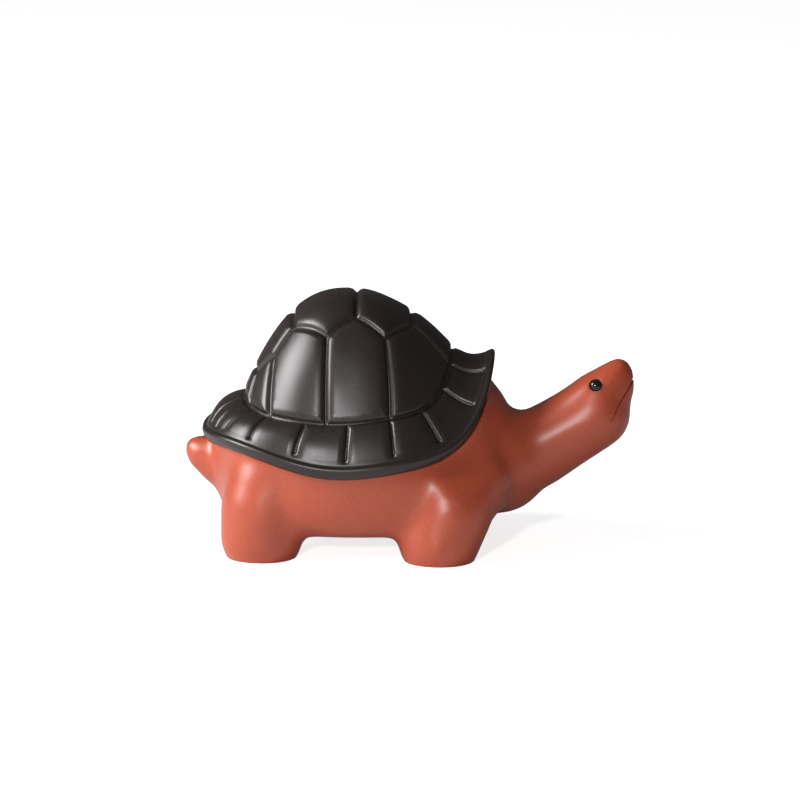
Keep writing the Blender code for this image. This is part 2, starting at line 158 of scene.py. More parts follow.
# Trunk, as half sizes about its own middle
TRUNK_MIDDLE = Vector((-12.0, 0.0, 26.7)) * MM
TRUNK_HALF = Vector((36.0, 28.0, 22.2)) * MM
TRUNK_PLAN_POWER = 2.4
TRUNK_TOP_POWER = 4.2
TRUNK_BOTTOM_POWER = 5.0
BODY_WALL = 3.6 * MM
HOLLOW_MOUTH_SHARE = 0.7
VENT_RADIUS = 3.5 * MM
VENT_MIDDLE_X = -13.3 * MM

# Limbs in millimetres: points of a centre line from the trunk outwards, each with the radius there
NECK_LINE = ((14, 0, 22.0, 13.6), (21.5, 0, 20.6, 13.4), (31, 0, 23.3, 9.8), (38, 0, 27.6, 9.3),
             (45.6, 0, 32.3, 9.0), (50.2, 0, 39.2, 5.5), (51.4, 0, 42.6, 3.8))
HEAD_TOP_LINE = ((38, 1.0, 29.8, 6.6), (42, 1.8, 34.0, 5.8), (45.6, 2.3, 37.4, 5.15), (49.5, 1.8, 40.8, 4.1),
                 (51.2, 1.2, 42.5, 3.5))
TAIL_LINE = ((-40, 0, 18.5, 9), (-46, 0, 20.4, 6.6), (-50.2, 0, 22.2, 4.9), (-52.4, 0, 23.6, 3.4))
FRONT_LEG_LINE = ((10, 16, 18, 11.5), (9.5, 18.3, 12, 11), (7.2, 19.9, 5, 10.2))
CHEST_LINE = ((9, 12, 19, 12.5), (14, 12, 17.5, 11))
REAR_LEG_LINE = ((-33, 13, 18, 12), (-35.3, 14.8, 12, 11), (-36.2, 15.6, 5, 10.2))
HEAD_CENTRE = Vector((45.5, 0.01, 33.0)) * MM
# Where the neck, chest and leg meet, the skin is smoothed further
FOLD_SPOT = Vector((22.5, 10.0, 15.0)) * MM
FOLD_REACH = (5.0 * MM, 11.0 * MM)
FOLD_PASSES = 60

# Sides of the round primitives, and the size of the block that cuts the feet flat
LIMB_SIDES = 48
TRUNK_SIDES = 64
COLUMN_SIDES = 96
DISH_SIDES = 128
BEAD_SIDES = 40
TABLE_SIZE = 160.0 * MM

# The gap round each eye bead, and the shallow dish that it sits in
SOCKET_GAP = 0.12 * MM
DISH_RADIUS = 7.0 * MM
DISH_DEPTH = 0.35 * MM
EDGE_ANGLE = math.radians(40)

# Clay: the size of its slow patches, the noise levels that span its tones, and how far its roughness varies
PATCH_SIZE = 12.0 * MM
PATCH_DETAIL = 4.0
GRAIN_DETAIL = 3.0
TONE_SPAN = (0.3, 0.7)
SHEEN_SPREAD = 0.05
BUMP_STRENGTH = 0.35
# Of each clay, the darkest and lightest share of its colour, in its patches and in its grains
SHELL_SHADES = ((0.85, 1.15), (0.75, 1.3))
BODY_SHADES = ((0.92, 1.08), (0.86, 1.14))
BEAD_SHADES = ((0.9, 1.1), (0.9, 1.1))
# Of each clay, the size and depth of its grains
SHELL_GRAIN = (0.35 * MM, 0.03 * MM)
BODY_GRAIN = (0.3 * MM, 0.025 * MM)
BEAD_GRAIN = (0.3 * MM, 0.004 * MM)

# Mouth line, as turns from straight ahead
MOUTH_SPREAD = math.radians(65)
MOUTH_MIDDLE_TILT = math.radians(41)
MOUTH_CORNER_TILT = math.radians(-8)
MOUTH_STEPS = 30
MOUTH_TAPER = 0.75
MOUTH_TAPER_POWER = 6
# The mouth blade's section, outwards and upwards as shares of the mouth's width
MOUTH_BLADE = ((-1.0, -0.08), (-0.6, 0.14), (0.9, 0.34), (0.9, -1.3), (0.1, -1.0), (-0.3, -0.5))

# Stage: the picture's size and scale, and the place of the model's origin in it
PHOTO_SIZE = 800
PHOTO_SCALE = 0.246 * MM
PHOTO_ORIGIN = (409.5, 541.6)
CAMERA_RISE = math.radians(12)
CAMERA_DISTANCE = 1.6
SENSOR_WIDTH = 36.0
FLOOR_SIZE = 6.0
FLOOR_ROUGHNESS = 0.9
# Of each light, its place and its width
KEY_LIGHT = (Vector((-0.62, -0.12, 0.38)), 0.42)
FRONT_LIGHT = (Vector((-0.15, -0.7, 0.27)), 0.06)
LIGHT_TARGET = Vector((0.0, 0.0, 0.03))


class TEAPET_PG_shell(bpy.types.PropertyGroup):
    colour: bpy.props.FloatVectorProperty(
        name="Shell clay", description="Colour of the dark clay", subtype="COLOR", size=3,
        default=(0.017, 0.0115, 0.0105), min=0.0, max=1.0)
    roughness: bpy.props.FloatProperty(
        name="Roughness", description="Roughness of the polished dark clay", default=0.36, min=0.0, max=1.0)
    groove_depth: bpy.props.FloatProperty(
        name="Groove depth", description="Depth of the carved seams, as a share of the usual", default=1.0)
    groove_width: bpy.props.FloatProperty(
        name="Groove width", description="Width of the carved seams, as a share of the usual", default=1.0)


class TEAPET_PG_body(bpy.types.PropertyGroup):
    colour: bpy.props.FloatVectorProperty(
        name="Body clay", description="Colour of the red clay", subtype="COLOR", size=3,
        default=(0.36, 0.062, 0.028), min=0.0, max=1.0)
    roughness: bpy.props.FloatProperty(
        name="Roughness", description="Roughness of the polished red clay", default=0.36, min=0.0, max=1.0)
    voxel: bpy.props.FloatProperty(
        name="Blend step", description="Cell size of the blend between trunk and limbs", default=1.0 * MM,
        unit="LENGTH")
    smoothing: bpy.props.IntProperty(
        name="Smoothing", description="Passes that smooth the blend", default=26, min=0)
    mouth_width: bpy.props.FloatProperty(
        name="Mouth width", description="Width of the carved mouth line", default=1.15 * MM, unit="LENGTH")


class TEAPET_PG_eyes(bpy.types.PropertyGroup):
    colour: bpy.props.FloatVectorProperty(
        name="Bead clay", description="Colour of the eye beads", subtype="COLOR", size=3,
        default=(0.008, 0.008, 0.009), min=0.0, max=1.0)
    roughness: bpy.props.FloatProperty(
        name="Roughness", description="Roughness of the glossy beads", default=0.12, min=0.0, max=1.0)


class TEAPET_PG_stage(bpy.types.PropertyGroup):
    floor_colour: bpy.props.FloatVectorProperty(
        name="Floor", description="Colour of the pale floor", subtype="COLOR", size=3,
        default=(0.82, 0.82, 0.82), min=0.0, max=1.0)
    floor_glow: bpy.props.FloatProperty(
        name="Floor glow", description="How much white the floor adds where the camera sees it", default=0.8)
    key_power: bpy.props.FloatProperty(
        name="Key light", description="Power of the large light at the left", default=8.5, unit="POWER")
    front_power: bpy.props.FloatProperty(
        name="Front light", description="Power of the small light beside the camera", default=2.6,
        unit="POWER")
    world_strength: bpy.props.FloatProperty(
        name="Room light", description="Strength of the even light from all round", default=0.09)


def fresh_object(name, mesh):
    made = bpy.data.objects.new(name, mesh)
    bpy.context.scene.collection.objects.link(made)
    return made


def select_only(*targets):
    bpy.ops.object.select_all(action="DESELECT")
    for target in targets:
        target.select_set(True)
    bpy.context.view_layer.objects.active = targets[0]


def apply_modifiers(target):
    select_only(target)
    for modifier in list(target.modifiers):
        bpy.ops.object.modifier_apply(modifier=modifier.name)


def mesh_from(bm, name):
    mesh = bpy.data.meshes.new(name)
    bm.to_mesh(mesh)
    bm.free()
    return mesh


def cut(target, cutter):
    """Takes the cutter away from the target, and removes it."""
    modifier = target.modifiers.new("cut", "BOOLEAN")
    modifier.operation = "DIFFERENCE"
    modifier.solver = "EXACT"
    modifier.object = cutter
    apply_modifiers(target)
    bpy.data.objects.remove(cutter)


def show_instead(piece, node):
    """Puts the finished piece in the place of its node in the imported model."""
    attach(piece, "root")
    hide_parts(node)


def around(series, angle):
    """The value of a cosine series at an angle from the head."""
    return sum(part * math.cos(wave * angle) for wave, part in enumerate(series))


def plan_point(angle, half_length, half_width):
    """A point of the squarish oval that the shell follows when seen from above."""
    c, s = math.cos(angle), math.sin(angle)
    reach = (abs(c) ** PLAN_POWER + abs(s) ** PLAN_POWER) ** (-1.0 / PLAN_POWER)
    return half_length * reach * c, half_width * reach * s


def crown_point(radius, angle):
    """A point of the crown's outer surface: radius 0 is the top, and 1 is the crown's foot."""
    reach = math.sin(radius * CROWN_SPREAD) / math.sin(CROWN_SPREAD)
    x, y = plan_point(angle, CROWN_HALF_LENGTH, CROWN_HALF_WIDTH)
    foot = around(CROWN_FOOT_Z, angle)
    rise = (SHELL_TOP_Z - foot) * (1.0 - reach ** around(CROWN_FULLNESS, angle))
    return Vector((SHELL_MIDDLE_X + reach * x, reach * y, foot + rise))


def margin_point(share, angle):
    """A point of the flared margin: share 0 is the crown's foot, and 1 is the top edge of the rim."""
    x, y = plan_point(angle, RIM_HALF_LENGTH - LIP_WIDTH, RIM_HALF_WIDTH - LIP_WIDTH)
    foot = crown_point(1.0, angle)
    edge = Vector((SHELL_MIDDLE_X + x, y, around(RIM_BOTTOM_Z, angle) + RIM_THICKNESS))
    run = edge - foot
    level = math.hypot(run.x, run.y)
    out = Vector((-run.z * math.cos(angle), -run.z * math.sin(angle), level)).normalized()
    return foot + run * share + out * around(MARGIN_BULGE, angle) * math.sin(math.pi * share)


def shell_point(radius, angle):
    if radius <= 1.0:
        return crown_point(radius, angle)
    return margin_point((radius - 1.0) / (RIM_RADIUS - 1.0), angle)


def outward(radius, angle):
    """The direction that points straight out of the shell's surface."""
    run = shell_point(radius + SLOPE_STEP, angle) - shell_point(radius - SLOPE_STEP, angle)
    sideways = shell_point(radius, angle + SLOPE_STEP) - shell_point(radius, angle - SLOPE_STEP)
    return run.cross(sideways).normalized()


def sunk_point(radius, angle, depth):
    """The point that lies at this depth under the shell's outer surface."""
    return shell_point(radius, angle) - outward(radius, angle) * depth


def lip_point(angle, out, height):
    x, y = plan_point(angle, RIM_HALF_LENGTH - LIP_WIDTH + out, RIM_HALF_WIDTH - LIP_WIDTH + out)
    return Vector((SHELL_MIDDLE_X + x, y, around(RIM_BOTTOM_Z, angle) + height))


def on_circle(degrees, radius=1.0):
    angle = math.radians(degrees)
    return (round(radius * math.cos(angle), 6), round(radius * math.sin(angle), 6))


def mirrored(points):
    return [(x, -y) for x, y in points]


def slanted(degrees):
    """The angle at the rim of a marginal seam that leaves the crown's foot at this angle."""
    turned = (degrees + 180) % 360 - 180
    outer = float(np.interp(abs(turned), (0, *MARGIN_SEAMS, 180), (0, *MARGIN_SEAM_ENDS, 180)))
    return math.copysign(outer, turned)


def margin_cell(first, second):
    """One four-sided cell of a marginal scute, between two angles in degrees."""
    inner = [on_circle(first), on_circle(second)]
    return inner + [on_circle(slanted(second), SCUTE_RADIUS), on_circle(slanted(first), SCUTE_RADIUS)]


def scute_faces():
    """The flat scutes as lists of faces, each face a list of points, with the same points on shared seams."""
    ring = sorted(set(MARGIN_SEAMS) | set(COSTAL_FEET) | set(RING_EXTRAS))
    corners = [on_circle(COSTAL_FEET[0]), *SIDE_CORNERS, on_circle(COSTAL_FEET[-1])]
    spine = [(x, 0.0) for x in SPINE_SEAMS]
    front = [corners[1], *[on_circle(a) for a in reversed(ring) if 0 < a <= COSTAL_FEET[0]]]
    scutes = [[[spine[0], *front, on_circle(0), *mirrored(front[::-1])]]]
    for index in range(len(spine) - 1):
        side = corners[2 * index + 1:2 * index + 4]
        scutes.append([[spine[index], *side, spine[index + 1], *mirrored(side[::-1])]])
    rear = [corners[-2], *[on_circle(a) for a in ring if COSTAL_FEET[-1] <= a < 180]]
    scutes.append([[spine[-1], *rear, on_circle(180), *mirrored(rear[::-1])]])
    for index, (low, high) in enumerate(zip(COSTAL_FEET, COSTAL_FEET[1:])):
        foot = [on_circle(a) for a in reversed(ring) if low <= a <= high]
        outline = list(dict.fromkeys(corners[2 * index:2 * index + 3] + foot))
        scutes += [[outline], [mirrored(outline)]]
    whole = sorted({-a for a in ring} | set(ring))
    seams = sorted({-a for a in MARGIN_SEAMS} | set(MARGIN_SEAMS)) + [360 - MARGIN_SEAMS[-1]]
    whole += [360 + a for a in whole if a > -180 and 360 + a <= seams[-1]]
    for low, high in zip(seams, seams[1:]):
        span = [a for a in whole if low <= a <= high]
        scutes.append([margin_cell(a, b) for a, b in zip(span, span[1:])])
    return scutes


def surface_spot(x, y):
    """The place on the shell's outside of a point of the flat pattern."""
    return shell_point(math.hypot(x, y), math.atan2(y, x))


def on_foot(start, end):
    """Whether a seam runs along the crown's foot."""
    return abs(start.length - 1.0) < FOOT_TOLERANCE and abs(end.length - 1.0) < FOOT_TOLERANCE


def seams():
    """The seams between scutes: both ends in the flat pattern, half width and depth."""
    owners = {}
    for number, faces in enumerate(scute_faces()):
        for points in faces:
            for pair in zip(points, points[1:] + points[:1]):
                owners.setdefault(tuple(sorted(pair)), set()).add(number)
    found = []
    for pair, numbers in owners.items():
        start, end = (Vector(point) for point in pair)
        if len(numbers) < 2:
            continue
        if on_foot(start, end):
            half, depth = FOOT_SEAM
        elif max(start.length, end.length) > RIM_RADIUS - RIM_ZONE:
            half, depth = MARGIN_SEAM
            start, end = sorted((start, end), key=lambda point: point.length)
            end = end * (MARGIN_SEAM_END / end.length)
        else:
            half, depth = CROWN_SEAM
        found.append((start, end, half * MM, depth * MM))
    return found


def seam_samples(start, end, step):
    """Points along a seam, this far apart on the shell, on the circle where it follows the crown's foot."""
    run = (surface_spot(*end) - surface_spot(*start)).length
    count = max(1, math.ceil(run / step))
    points = [start.lerp(end, index / count) for index in range(count + 1)]
    if on_foot(start, end):
        points = [point.normalized() for point in points]
    return points


def carving_tree(lines):
    """A search tree of places along the seams, and the half width and depth at each."""
    spots = [(surface_spot(*point), half, depth) for start, end, half, depth in lines
             for point in seam_samples(start, end, TREE_STEP)]
    tree = KDTree(len(spots))
    for index, (spot, _, _) in enumerate(spots):
        tree.insert(spot, index)
    tree.balance()
    return tree, [spot[1:] for spot in spots]


class Scatter:
    """Points of the flat pattern, none too close to another."""

    def __init__(self):
        self.points = []
        self.cells = {}

    def add(self, point, room=0.0):
        """Adds a point if it has this much room, and returns its number."""
        column, row = int(point[0] // CELL_SIZE), int(point[1] // CELL_SIZE)
        if room:
            for other in [index for i in (-1, 0, 1) for j in (-1, 0, 1)
                          for index in self.cells.get((column + i, row + j), ())]:
                if math.dist(self.points[other], point) < room:
                    return None
        self.cells.setdefault((column, row), []).append(len(self.points))
        self.points.append((point[0], point[1]))
        return len(self.points) - 1


def pattern_mesh(lines, tree):
    """The flat pattern as fine triangles, with rows of points along each seam."""
    scatter = Scatter()
    known = {}
    edges = []
    rows = []
    for start, end, _, _ in lines:
        points = seam_samples(start, end, ROW_STEP)
        numbers = []
        for point in points:
            key = (round(point.x, 5), round(point.y, 5))
            if key not in known:
                known[key] = scatter.add(point)
            numbers.append(known[key])
        edges += list(zip(numbers, numbers[1:]))
        side = (end - start).orthogonal().normalized()
        for point in points:
            out = point.normalized() if on_foot(start, end) else side
            scale = (surface_spot(*(point + out * SCALE_STEP)) - surface_spot(*point)).length / SCALE_STEP
            rows += [(offset, point + out * (sign * offset * MM / scale))
                     for offset in ROW_OFFSETS for sign in (-1, 1)]
    rim = [on_circle(360 * index / RIM_SIDES, SCUTE_RADIUS) for index in range(RIM_SIDES)]
    numbers = [scatter.add(point) for point in rim]
    edges += list(zip(numbers, numbers[1:] + numbers[:1]))
    inside = SCUTE_RADIUS - RIM_ROOM
    for offset, point in sorted(rows, key=lambda row: row[0]):
        if point.length < inside and tree.find(surface_spot(*point))[2] > ROW_CLEARANCE * offset * MM:
            scatter.add(point, ROW_ROOM)
    for ring in range(GRID_RINGS):
        radius = SCUTE_RADIUS * (ring + GRID_SHIFT) / GRID_RINGS
        for index in range(6 * ring + 1):
            point = Vector(on_circle(360 * index / (6 * ring + 1), radius))
            if point.length < inside:
                scatter.add(point, GRID_ROOM)
    spots = [Vector(point) for point in scatter.points]
    points, _, faces = geometry.delaunay_2d_cdt(spots, edges, [], 0, JOIN_GAP)[:3]
    bm = bmesh.new()
    verts = [bm.verts.new((point.x, point.y, 0.0)) for point in points]
    for face in faces:
        bm.faces.new([verts[index] for index in face])
    return bm


def groove_at(spot, tree, sizes, settings):
    """The depth of the carving at a place on the shell, and how far outside the groove's edge it lies."""
    depth, outside = 0.0, SEAM_REACH
    for _, index, away in tree.find_range(spot, SEAM_REACH):
        half = sizes[index][0] * settings.groove_width
        outside = min(outside, max(away - half, 0.0))
        share = max(1.0 - away / half, 0.0)
        wall = share * share / (share + SEAM_ROUNDING) * (1.0 + SEAM_ROUNDING)
        depth = max(depth, sizes[index][1] * settings.groove_depth * wall)
    return depth, outside


def carved_surface(settings):
    """The shell's outside with its carved seams, and the angle at each point of its open edge."""
    lines = seams()
    tree, sizes = carving_tree(lines)
    bm = pattern_mesh(lines, tree)
    edges = [e for e in bm.edges if e.is_boundary]
    angles = {v: math.atan2(v.co.y, v.co.x) for e in edges for v in e.verts}
    for vert in bm.verts:
        vert.co = surface_spot(vert.co.x, vert.co.y)
    bmesh.ops.recalc_face_normals(bm, faces=bm.faces)
    bm.normal_update()
    pushes = {}
    for vert in bm.verts:
        groove, outside = groove_at(vert.co, tree, sizes, settings)
        pillow = PILLOW_DEPTH * math.exp(-outside / PILLOW_LENGTH)
        pushes[vert] = vert.normal * -(groove + pillow + hand_wobble(vert.co))
    for vert, push in pushes.items():
        if vert not in angles:
            vert.co += push
    return bm, edges, angles


def hand_wobble(point):
    """The slight unevenness of a surface that is carved and polished by hand."""
    return WOBBLE_DEPTH * noise.noise(point / WOBBLE_LENGTH)


def extrude_rings(bm, edges, angles, places):
    """Grows the open edge from ring to ring, and returns the last ring's edges and angles."""
    for place in places:
        grown = bmesh.ops.extrude_edge_only(bm, edges=edges)["geom"]
        fresh = {g for g in grown if isinstance(g, bmesh.types.BMVert)}
        edges = [g for g in grown if isinstance(g, bmesh.types.BMEdge) and set(g.verts) <= fresh]
        roots = {v: next(e.other_vert(v) for e in v.link_edges if e.other_vert(v) in angles) for v in fresh}
        angles = {v: angles[root] for v, root in roots.items()}
        for vert in fresh:
            vert.co = place(angles[vert])
    return edges, angles


def ring_loops(bm, places, turns):
    """Rings of points around the shell at these angles, joined by faces."""
    loops = [[bm.verts.new(place(angle)) for angle in turns] for place in places]
    for upper, lower in zip(loops, loops[1:]):
        for index in range(len(turns)):
            bm.faces.new((upper[index - 1], upper[index], lower[index], lower[index - 1]))
    return loops


def inner_places(gap=0.0):
    """The rings of the inner wall, each moved in by a gap."""
    return [lambda angle, radius=radius, depth=depth: sunk_point(radius, angle, depth + gap)
            for radius, depth in INNER_RINGS]


def build_shell(settings):
    bm, edges, angles = carved_surface(settings)
    lip = [lambda angle, share=share: margin_point(share, angle) for share in (LIP_START, 1.0)]
    lip += [lambda angle, out=out, height=height: lip_point(angle, out, height)
            for out, height in LIP_SECTION]
    edges, angles = extrude_rings(bm, edges, angles, lip)
    turns = sorted(angles.values())[::2]
    loops = ring_loops(bm, inner_places(), turns)
    edges += [bm.edges.get((loops[0][index - 1], loops[0][index])) for index in range(len(turns))]
    bmesh.ops.bridge_loops(bm, edges=edges)
    bm.faces.new(loops[-1])
    bmesh.ops.recalc_face_normals(bm, faces=bm.faces)
    shell = fresh_object("carved_shell", mesh_from(bm, "carved_shell"))
    shell.data.shade_smooth()
    return shell


def seat_cutter():
    """All the room over the shell's underside, less a small gap, out past the rim."""
    lip_out = LIP_SECTION[-1][0]
    reach = LIP_WIDTH + SEAT_REACH
    places = [lambda angle: lip_point(angle, reach, 0.0)]
    places += [lambda angle, out=out: lip_point(angle, out, -SEAT_GAP) for out in (reach, lip_out)]
    places += inner_places(SEAT_GAP)
    bm = bmesh.new()
    loops = ring_loops(bm, places, [2.0 * math.pi * step / SEAT_SIDES for step in range(SEAT_SIDES)])
    for loop in (loops[0], loops[-1]):
        bm.faces.new(loop)
    for vert in loops[0]:
        vert.co.z = SEAT_TOP_Z
    bmesh.ops.recalc_face_normals(bm, faces=bm.faces)
    return fresh_object("shell_seat", mesh_from(bm, "shell_seat"))


def add_ball(centre, radius, segments=LIMB_SIDES):
    bpy.ops.mesh.primitive_uv_sphere_add(segments=segments, ring_count=segments // 2, radius=radius,
                                         location=centre)
    return bpy.context.object


def add_limb(line, side=1.0):
    """A limb as a ball at each point of its line and a cone between each two."""
    stops = [(Vector((x, y * side, z)) * MM, radius * MM) for x, y, z, radius in line]
    made = [add_ball(centre, radius) for centre, radius in stops]
    for (start, start_radius), (end, end_radius) in zip(stops, stops[1:]):
        run = end - start
        bpy.ops.mesh.primitive_cone_add(vertices=LIMB_SIDES, radius1=start_radius, radius2=end_radius,
                                        depth=run.length, location=(start + end) / 2,
                                        rotation=run.to_track_quat("Z", "Y").to_euler())
        made.append(bpy.context.object)
    return made


def rounded_block(half):
    """A closed oval form between a ball and a block, about the trunk's middle."""
    made = add_ball((0.0, 0.0, 0.0), 1.0, TRUNK_SIDES)
    for vert in made.data.vertices:
        power = TRUNK_TOP_POWER if vert.co.z > 0.0 else TRUNK_BOTTOM_POWER
        x, y, z = (abs(part) / size for part, size in zip(vert.co, half))
        level = (x ** TRUNK_PLAN_POWER + y ** TRUNK_PLAN_POWER) ** (power / TRUNK_PLAN_POWER)
        vert.co = TRUNK_MIDDLE + vert.co * (level + z ** power) ** (-1.0 / power)
    return made


def add_column(half_length, half_width, middle_x, low, high):
    bpy.ops.mesh.primitive_cylinder_add(vertices=COLUMN_SIDES, radius=1.0, depth=high - low,
                                        location=(middle_x, 0.0, (low + high) / 2),
                                        scale=(half_length, half_width, 1.0))
    return bpy.context.object


def blended_body(settings):
    """Trunk, legs, tail and neck melted into one skin, as the clay is smoothed by hand."""
    masses = [rounded_block(TRUNK_HALF), *add_limb(NECK_LINE), *add_limb(TAIL_LINE)]
    for side in (1.0, -1.0):
        masses += add_limb(FRONT_LEG_LINE, side) + add_limb(REAR_LEG_LINE, side)
        masses += add_limb(HEAD_TOP_LINE, side) + add_limb(CHEST_LINE, side)
    select_only(*masses)
    bpy.ops.object.join()
    body = bpy.context.object
    bpy.ops.object.transform_apply(location=True, rotation=True, scale=True)
    body.name = "clay_body"
    blend = body.modifiers.new("blend", "REMESH")
    blend.mode = "VOXEL"
    blend.voxel_size = settings.voxel
    apply_modifiers(body)
    tuck_under_shell(body)
    smooth = body.modifiers.new("smooth", "SMOOTH")
    smooth.iterations = settings.smoothing
    fold = body.vertex_groups.new(name="fold")
    for vert in body.data.vertices:
        away = (Vector((vert.co.x, abs(vert.co.y), vert.co.z)) - FOLD_SPOT).length
        fold.add([vert.index], float(np.interp(away, FOLD_REACH, (1.0, 0.0))), "REPLACE")
    smooth = body.modifiers.new("smooth_fold", "SMOOTH")
    smooth.iterations = FOLD_PASSES
    smooth.vertex_group = "fold"
    apply_modifiers(body)
    return body


def tuck_under_shell(body):
    """Leans the skin in front of the trunk inwards near the shell's edge, so that the shell overhangs it."""
    for vert in body.data.vertices:
        x, y = vert.co.x - SHELL_MIDDLE_X, vert.co.y
        angle = math.atan2(y / RIM_HALF_WIDTH, x / RIM_HALF_LENGTH)
        edge = math.hypot(*plan_point(angle, RIM_HALF_LENGTH, RIM_HALF_WIDTH))
        start = edge * float(np.interp(abs(angle), (0.0, TUCK_TURN), TUCK_START))
        below = around(RIM_BOTTOM_Z, angle) - vert.co.z
        out = math.hypot(x, y) - start
        room = max(below, 0.0) / TUCK_SLOPE
        if x > 0.0 and room < out < TUCK_REACH and below < TUCK_DEPTH:
            shrink = (start + room) / (start + out)
            vert.co.x = SHELL_MIDDLE_X + x * shrink
            vert.co.y = y * shrink
            keep_off_hollow(vert.co)


def keep_off_hollow(spot):
    """Moves a point outwards on the level until the trunk's wall is thick enough behind it."""
    half = TRUNK_HALF - Vector((1.0, 1.0, 1.0)) * (BODY_WALL - TUCK_WALL)
    x, y, z = (abs(part) / size for part, size in zip(spot - TRUNK_MIDDLE, half))
    if z < 1.0:
        power = TRUNK_TOP_POWER if spot.z > TRUNK_MIDDLE.z else TRUNK_BOTTOM_POWER
        room = (1.0 - z ** power) ** (1.0 / power)
        grow = max(1.0, room / (x ** TRUNK_PLAN_POWER + y ** TRUNK_PLAN_POWER) ** (1.0 / TRUNK_PLAN_POWER))
        spot.x = TRUNK_MIDDLE.x + (spot.x - TRUNK_MIDDLE.x) * grow
        spot.y *= grow


def mouth_cutter(skin, width):
    """A blade drawn over the snout, down and back to a corner on each side, steep above and gentle below."""
    bm = bmesh.new()
    loops = []
    for index in range(-MOUTH_STEPS, MOUTH_STEPS + 1):
        share = abs(index) / MOUTH_STEPS
        turn = math.copysign(share, index) * MOUTH_SPREAD
        tilt = MOUTH_MIDDLE_TILT + (MOUTH_CORNER_TILT - MOUTH_MIDDLE_TILT) * share ** 2
        aim = Vector((math.cos(tilt) * math.cos(turn), math.cos(tilt) * math.sin(turn), math.sin(tilt)))
        lifted = Vector((-math.sin(tilt) * math.cos(turn), -math.sin(tilt) * math.sin(turn), math.cos(tilt)))
        spot = skin.ray_cast(HEAD_CENTRE, aim)[0]
        size = width * (1.0 - MOUTH_TAPER * share ** MOUTH_TAPER_POWER)
        loops.append([bm.verts.new(spot + aim * (size * out) + lifted * (size * up))
                      for out, up in MOUTH_BLADE])
    for first, second in zip(loops, loops[1:]):
        for index in range(len(MOUTH_BLADE)):
            bm.faces.new((first[index - 1], first[index], second[index], second[index - 1]))
    for loop in (loops[0], loops[-1]):
        bm.faces.new(loop)
    bmesh.ops.recalc_face_normals(bm, faces=bm.faces)
    return fresh_object("mouth_line", mesh_from(bm, "mouth_line"))


def build_body(settings):
    body = blended_body(settings)
    skin = BVHTree.FromPolygons([v.co for v in body.data.vertices], [p.vertices for p in body.data.polygons])
    mouth = mouth_cutter(skin, settings.mouth_width)
    bpy.ops.mesh.primitive_cube_add(size=TABLE_SIZE, location=(0.0, 0.0, -TABLE_SIZE / 2))
    cut(body, bpy.context.object)
    cut(body, seat_cutter())
    cut(body, rounded_block(TRUNK_HALF - Vector((1.0, 1.0, 1.0)) * BODY_WALL))
    cut(body, add_column(TRUNK_HALF.x * HOLLOW_MOUTH_SHARE, TRUNK_HALF.y * HOLLOW_MOUTH_SHARE, TRUNK_MIDDLE.x,
                         TRUNK_MIDDLE.z + BODY_WALL, SEAT_TOP_Z + BODY_WALL))
    cut(body, add_column(VENT_RADIUS, VENT_RADIUS, VENT_MIDDLE_X, -BODY_WALL, TRUNK_MIDDLE.z))
    cut(body, mouth)
    for name in ("eye_left", "eye_right"):
        centre, radius = bead(name)
        cut(body, add_ball(centre, radius + SOCKET_GAP))
        spot, normal = skin.find_nearest(centre)[:2]
        cut(body, add_ball(spot + normal * (DISH_RADIUS - DISH_DEPTH), DISH_RADIUS, DISH_SIDES))
    body.data.shade_smooth()
    body.data.set_sharp_from_angle(angle=EDGE_ANGLE)
    return body


def bead(name):
    """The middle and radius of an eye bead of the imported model."""
    low, high = (Vector(corner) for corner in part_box(name))
    return (low + high) / 2, (high.x - low.x) / 2


def link(tree, source, output, target, socket):
    tree.links.new(source.outputs[output], target.inputs[socket])


def clay_material(name, colour, roughness, shades, grain):
    """Polished clay: slow and fine changes of tone, grains, and a fine bump."""
    made = bpy.data.materials.new(name)
    made.use_nodes = True
    tree = made.node_tree
    shader = tree.nodes["Principled BSDF"]
    place = tree.nodes.new("ShaderNodeTexCoord")
    patches = tree.nodes.new("ShaderNodeTexNoise")
    patches.inputs["Scale"].default_value = 1.0 / PATCH_SIZE
    patches.inputs["Detail"].default_value = PATCH_DETAIL
    grains = tree.nodes.new("ShaderNodeTexNoise")
    grains.inputs["Scale"].default_value = 1.0 / grain[0]
    grains.inputs["Detail"].default_value = GRAIN_DETAIL
    for pattern in (patches, grains):
        link(tree, place, "Object", pattern, "Vector")
    tones = []
    for pattern, (dark, light) in zip((patches, grains), shades):
        ramp = tree.nodes.new("ShaderNodeMapRange")
        ramp.inputs["From Min"].default_value = TONE_SPAN[0]
        ramp.inputs["From Max"].default_value = TONE_SPAN[1]
        ramp.inputs["To Min"].default_value = dark
        ramp.inputs["To Max"].default_value = light
        link(tree, pattern, "Fac", ramp, "Value")
        tones.append(ramp)
    both = tree.nodes.new("ShaderNodeMath")
    both.operation = "MULTIPLY"
    tree.links.new(tones[0].outputs["Result"], both.inputs[0])
    tree.links.new(tones[1].outputs["Result"], both.inputs[1])
    tint = tree.nodes.new("ShaderNodeVectorMath")
    tint.operation = "SCALE"
    tint.inputs[0].default_value = colour
    link(tree, both, "Value", tint, "Scale")
    link(tree, tint, "Vector", shader, "Base Color")
    sheen = tree.nodes.new("ShaderNodeMapRange")
    sheen.inputs["To Min"].default_value = roughness - SHEEN_SPREAD
    sheen.inputs["To Max"].default_value = roughness + SHEEN_SPREAD
    link(tree, grains, "Fac", sheen, "Value")
    link(tree, sheen, "Result", shader, "Roughness")
    bump = tree.nodes.new("ShaderNodeBump")
    bump.inputs["Strength"].default_value = BUMP_STRENGTH
    bump.inputs["Distance"].default_value = grain[1]
    link(tree, grains, "Fac", bump, "Height")
    link(tree, bump, "Normal", shader, "Normal")
    return made


